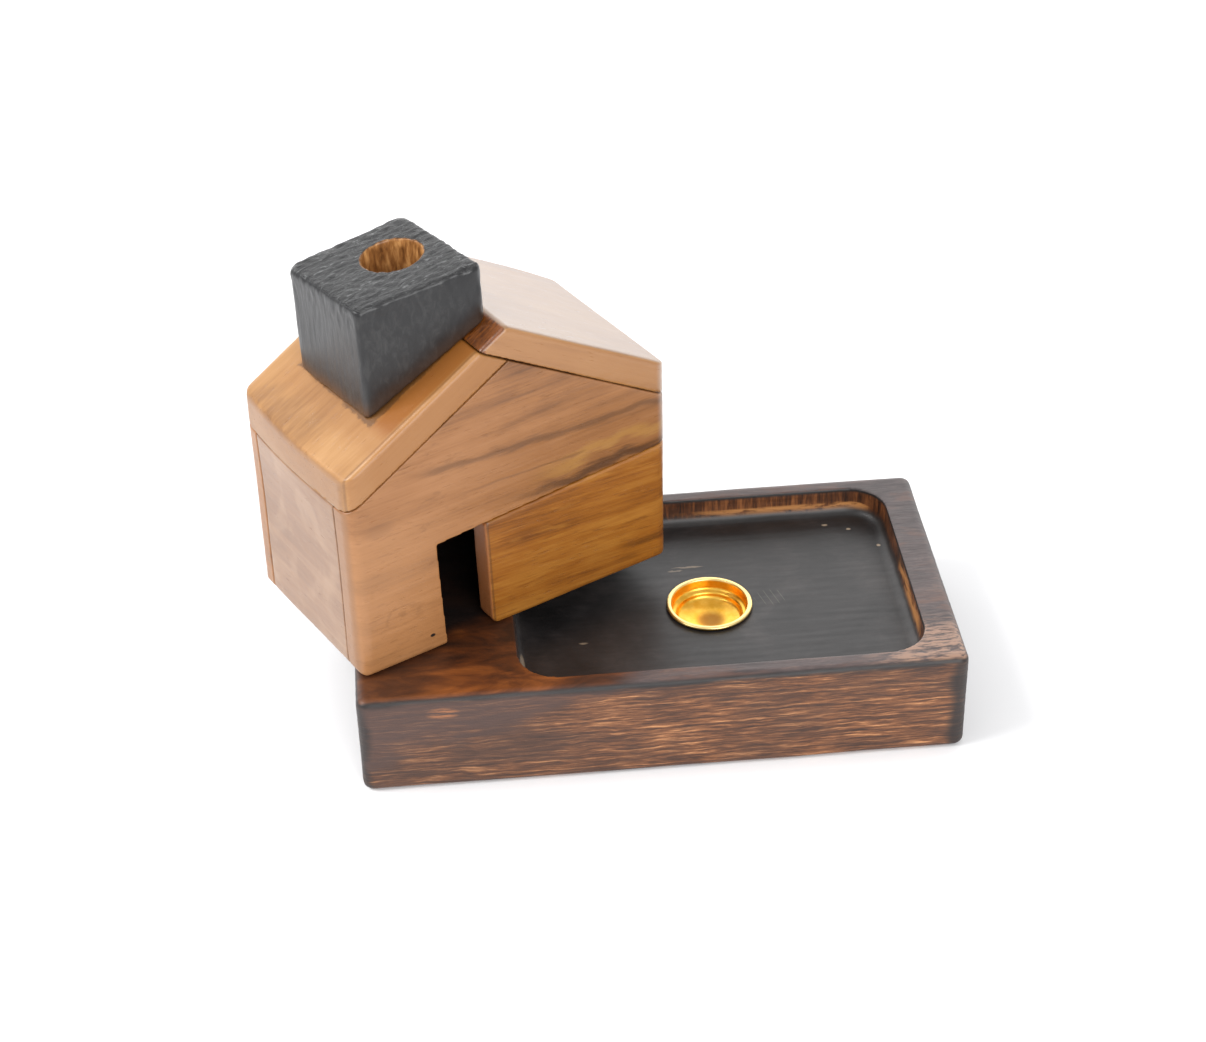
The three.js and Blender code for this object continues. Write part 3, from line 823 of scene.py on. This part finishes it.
def waxed_top(nodes, fine, cloud):
    """The rim and shelf: grey-purple where charred, red-brown where the house stands."""
    rim = nodes.ramp(nodes.blend((cloud, 0.6), (fine, 0.4)), (0.36, 0.55, 0.7), RIM)
    patches = nodes.noise(nodes.place, (16, 6, 6), 4, 0.6, 0.6, 51)
    shelf = nodes.ramp(patches, (0.34, 0.5, 0.68), SHELF)
    # Painted shade: the shelf is darker toward its far left end.
    shelf = nodes.tinted(shelf, nodes.step(nodes.x, -46, -62), SHELF_SHADE, 0.55)
    shelf_end = POCKET_PLAN[0][0] + 19
    uneven_x = nodes.plus(nodes.x, nodes.swing(cloud, 14))
    on_shelf = nodes.step(uneven_x, shelf_end + 11, shelf_end)
    colour = nodes.mix(on_shelf, rim, shelf)
    brown = nodes.times(
        nodes.step(patches, 0.5, 0.64),
        nodes.minus(0.5, nodes.times(on_shelf, 0.5)),
    )
    colour = nodes.tinted(colour, brown, BROWN_RIM)
    worn_corner = nodes.times(
        nodes.step(nodes.x, 44, 58),
        nodes.step(nodes.y, -18, -28),
        nodes.step(fine, 0.36, 0.6),
    )
    colour = nodes.tinted(colour, worn_corner, WORN_RIM, 0.8)
    front_arris = nodes.step(nodes.y, 1.2 - BASE_DEPTH / 2, 0.5 - BASE_DEPTH / 2)
    return nodes.tinted(colour, front_arris, CHARRED_ARRIS, 0.9)


def pocket_wall(nodes, cloud):
    """The pocket's sides: red-brown, with bright strips along the back and the right, partly wear
    and partly painted highlight.
    """
    streaks = nodes.noise(nodes.place, (0.9, 0.9, 9), 3, 0.6, 0.2, 61)
    tone = nodes.blend((streaks, 0.7), (cloud, 0.3))
    colour = nodes.ramp(tone, (0.36, 0.5, 0.66), POCKET_SIDES)
    right, back = POCKET_PLAN[1]
    along_back = nodes.times(
        nodes.step(nodes.y, back - 3, back - 1.5),
        nodes.step(nodes.x, 8, 26),
        nodes.step(nodes.x, right + 1, right - 4),
        nodes.line(nodes.z, POCKET_FLOOR + 2.2, 1.4, 0.6),
    )
    uneven_z = nodes.plus(nodes.z, nodes.swing(cloud, 3))
    along_right = nodes.times(
        nodes.step(nodes.x, right - 3, right - 1.6),
        nodes.step(nodes.y, -22, -16),
        nodes.step(nodes.y, 8, 2),
        nodes.step(uneven_z, POCKET_FLOOR + 6, POCKET_FLOOR + 4.4),
    )
    rubbed = nodes.step(nodes.noise(nodes.place, (7, 7, 1.6), 4, 0.65, 0.4, 64), 0.36, 0.54)
    # The bright strips are partly wear and partly a painted highlight.
    worn = nodes.times(nodes.either(along_back, along_right), rubbed)
    return nodes.tinted(colour, worn, BRIGHT_WOOD_AND_HIGHLIGHT)


def pocket_floor(nodes, fine):
    """The pocket's floor: smooth and black, with pale scratches, a painted highlight and a faint
    zigzag.
    """
    smoke = nodes.noise(nodes.place, (18, 16, 16), 4, 0.6, 0.5, 71)
    tone = nodes.blend((smoke, 0.75), (fine, 0.25))
    colour = nodes.ramp(tone, (0.38, 0.52, 0.66), POCKET_BLACK)
    chipped_y = nodes.plus(nodes.y, nodes.swing(fine, 1.2))
    for middle, size, strength in SCRATCHES_AND_HIGHLIGHT:
        pale_mark = nodes.spot(nodes.x, chipped_y, middle, size, 0.8)
        colour = nodes.tinted(colour, pale_mark, PALE_SCRATCH_AND_HIGHLIGHT, strength)
    across = nodes.blend((nodes.x, 1.2), (nodes.y, 0.35))
    lines = nodes.times(
        nodes.step(nodes.calculated("PINGPONG", across, 1.0), 0.78, 1.0),
        nodes.spot(nodes.x, nodes.y, ZIGZAG, ZIGZAG_SIZE),
    )
    return nodes.tinted(colour, lines, FAINT_MARKS, 0.22)


# ---- The cup's material ----

BRASS = ((0.8, 0.42, 0.045), (0.95, 0.6, 0.11))
BRASS_LIP_HIGHLIGHT = (0.95, 0.72, 0.3)
ASH_STAIN = (0.3, 0.13, 0.04)


def brass_finish(name):
    """Spun brass with a painted highlight on its lip, stained brown at the bottom by ash."""
    nodes = Nodes(name)
    clouds = nodes.noise(nodes.place, (3, 3, 3), 3, 0.6, 0, 4)
    colour = nodes.ramp(clouds, (0.35, 0.65), BRASS)
    # Painted highlight: the top of the lip is paler brass.
    colour = nodes.tinted(colour, nodes.step(nodes.z, -0.7, -0.2), BRASS_LIP_HIGHLIGHT)
    ash = nodes.times(
        nodes.spot(nodes.x, nodes.plus(nodes.y, clouds), (0.4, 0.2), (4.2, 4.2), 0.95),
        nodes.step(nodes.z, -3.4, -4.2),
        0.75,
    )
    colour = nodes.tinted(colour, ash, ASH_STAIN)
    spinning_marks = nodes.noise(nodes.place, (0.4, 0.4, 0.25), 3, 0.6, 0, 6)
    roughness = nodes.plus(0.24, nodes.times(clouds, 0.16), nodes.times(ash, 0.3))
    return nodes.finish(colour, roughness, nodes.bump(spinning_marks, 0.012), metallic=1.0)


# ---- The burner's pieces ----

# Radii of the cup's rolled lip and rounded shoulder, how far in from the lip its body and its
# mouth are, and how deep the middle of its bowl is.
LIP_ROLL = 0.42
SHOULDER = 0.9
BODY_INSET = 1.2
MOUTH_INSET = 1.25
BOWL_DEPTH = 5.35


def paint(piece, material):
    piece.data.materials.clear()
    piece.data.materials.append(material)


def make_house():
    finishes = {
        "front_wall": door_wall_finish("gable_wood"),
        "rear_wall": plain_wall_finish("rear_wood", HONEY, 5, 0.0, 0.15),
        "left_side_wall": plain_wall_finish("left_wood", SIDE, 9, -math.pi / 2, 0.35),
        "right_side_wall": plain_wall_finish("right_wood", HONEY, 13, -math.pi / 2, 0.15),
        "left_roof_slab": left_slab_finish("left_slab_wood"),
        "right_roof_slab": right_slab_finish("right_slab_wood"),
    }
    for node, material in finishes.items():
        add_house_piece(node, material, house_grain)
    add_house_piece("front_right_board", board_finish("board_wood"), house_grain)
    add_house_piece("chimney_block", chimney_finish("black_stain"), chimney_grain)


def add_house_piece(node, material, grain):
    voxel = DOOR_WALL_VOXEL if node == "front_wall" else BOARD_VOXEL
    piece = refined(f"{node}_carved", node, HOUSE, grain, bowed_house, voxel)
    paint(piece, material)
    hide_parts(node)
    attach(piece, "house")


def make_base():
    piece = refined("base", "base_block", BASE, base_grain, unbent, BASE_VOXEL)
    paint(piece, burnt_wood_finish("burnt_wood"))
    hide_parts("base_block")
    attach(piece, "base")


def cup_profile(lip, depth):
    """Half of the cup's section, from the middle of its foot, over its lip to its bowl."""
    body = lip - BODY_INSET
    mouth = lip - MOUTH_INSET
    profile = [(0, -depth)]
    profile += arc((body - 1, -depth + 1), 1, -90, 0)
    profile += [(body, -2 * LIP_ROLL)]
    profile += arc((lip - LIP_ROLL, -LIP_ROLL), LIP_ROLL, -90, 90)
    profile += arc((mouth + LIP_ROLL, -LIP_ROLL), LIP_ROLL, 90, 180)
    profile += arc((mouth - SHOULDER, -2.1), SHOULDER, 0, -80)
    profile += [(mouth - 1.3, -3.2)]
    profile += arc((mouth - 2.3, -3.6), 1, 0, -75)
    profile += [(4.5, -5.0), (2.0, -5.3), (0, -BOWL_DEPTH)]
    return profile


def make_cup():
    low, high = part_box("cone_cup")
    middle = (low + high) / 2
    profile = cup_profile((high.x - low.x) / 2 / MM, (high.z - low.z) / MM)
    matrix = Matrix.Translation(Vector((middle.x, middle.y, high.z)))
    cup = spun("brass_cup", profile, matrix)
    paint(cup, brass_finish("brass"))
    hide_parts("cone_cup")
    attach(cup, "base")


# ---- Studio ----

# The camera's place and lens are in millimetres, and its angles in degrees.
CAMERA_PLACE = (-52.1, -498.2, 400.2)
CAMERA_TURN = -4.8
CAMERA_PITCH = -35.39
CAMERA_ROLL = -1.32
CAMERA_LENS = 78.57

# A softbox has its place, what it points at, its two sides in metres and its radiance.
SOFTBOXES = {
    "key": ((-1.0, -0.1, 1.0), (0, 0, 0.04), (0.7, 0.7), 10),
    "back": ((0.1, 0.7, 0.4), (0.1, 0, 0.4), (1.6, 0.78), 1.6),
    "front": ((0.45, -1.25, 0.75), (0, 0, 0.04), (0.9, 0.9), 5.2),
}
SURROUND = 0.75
FLOOR_REACH = 12.0
PAPER = (0.86, 0.86, 0.87, 1)


def make_camera():
    data = bpy.data.cameras.new("camera")
    data.sensor_width = 36
    data.lens = CAMERA_LENS
    data.clip_start = 0.01
    camera = bpy.data.objects.new("camera", data)
    bpy.context.scene.collection.objects.link(camera)
    turn = Matrix.Rotation(math.radians(CAMERA_TURN), 4, "Z")
    pitch = Matrix.Rotation(math.radians(90 + CAMERA_PITCH), 4, "X")
    roll = Matrix.Rotation(math.radians(CAMERA_ROLL), 4, "Z")
    camera.matrix_world = Matrix.Translation(Vector(CAMERA_PLACE) * MM) @ turn @ pitch @ roll
    bpy.context.scene.camera = camera


def paper_finish(name):
    material = bpy.data.materials.new(name)
    material.use_nodes = True
    shader = material.node_tree.nodes["Principled BSDF"]
    shader.inputs["Base Color"].default_value = PAPER
    shader.inputs["Roughness"].default_value = 0.9
    shader.inputs["Specular IOR Level"].default_value = 0.1
    return material


def make_floor():
    low, high = -FLOOR_REACH, FLOOR_REACH
    mesh = bpy.data.meshes.new("floor")
    corners = [(low, low, 0), (high, low, 0), (high, high, 0), (low, high, 0)]
    mesh.from_pydata(corners, [], [(0, 1, 2, 3)])
    mesh.materials.append(paper_finish("paper"))
    floor = bpy.data.objects.new("floor", mesh)
    bpy.context.scene.collection.objects.link(floor)


def add_softbox(name, place, target, sides, radiance):
    data = bpy.data.lights.new(name, "AREA")
    data.shape = "RECTANGLE"
    data.size, data.size_y = sides
    data.energy = radiance * math.pi * sides[0] * sides[1]
    light = bpy.data.objects.new(name, data)
    bpy.context.scene.collection.objects.link(light)
    light.visible_camera = False
    light.location = place
    aim = Vector(target) - Vector(place)
    light.rotation_mode = "QUATERNION"
    light.rotation_quaternion = aim.to_track_quat("-Z", "Y")


def make_studio():
    scene = bpy.context.scene
    scene.view_settings.view_transform = "Standard"
    world = bpy.data.worlds.new("studio")
    world.use_nodes = True
    background = world.node_tree.nodes["Background"]
    background.inputs["Color"].default_value = (1, 1, 1, 1)
    background.inputs["Strength"].default_value = SURROUND
    scene.world = world
    for name, softbox in SOFTBOXES.items():
        add_softbox(name, *softbox)
    make_floor()
    make_camera()


make_studio()
make_house()
make_base()
make_cup()
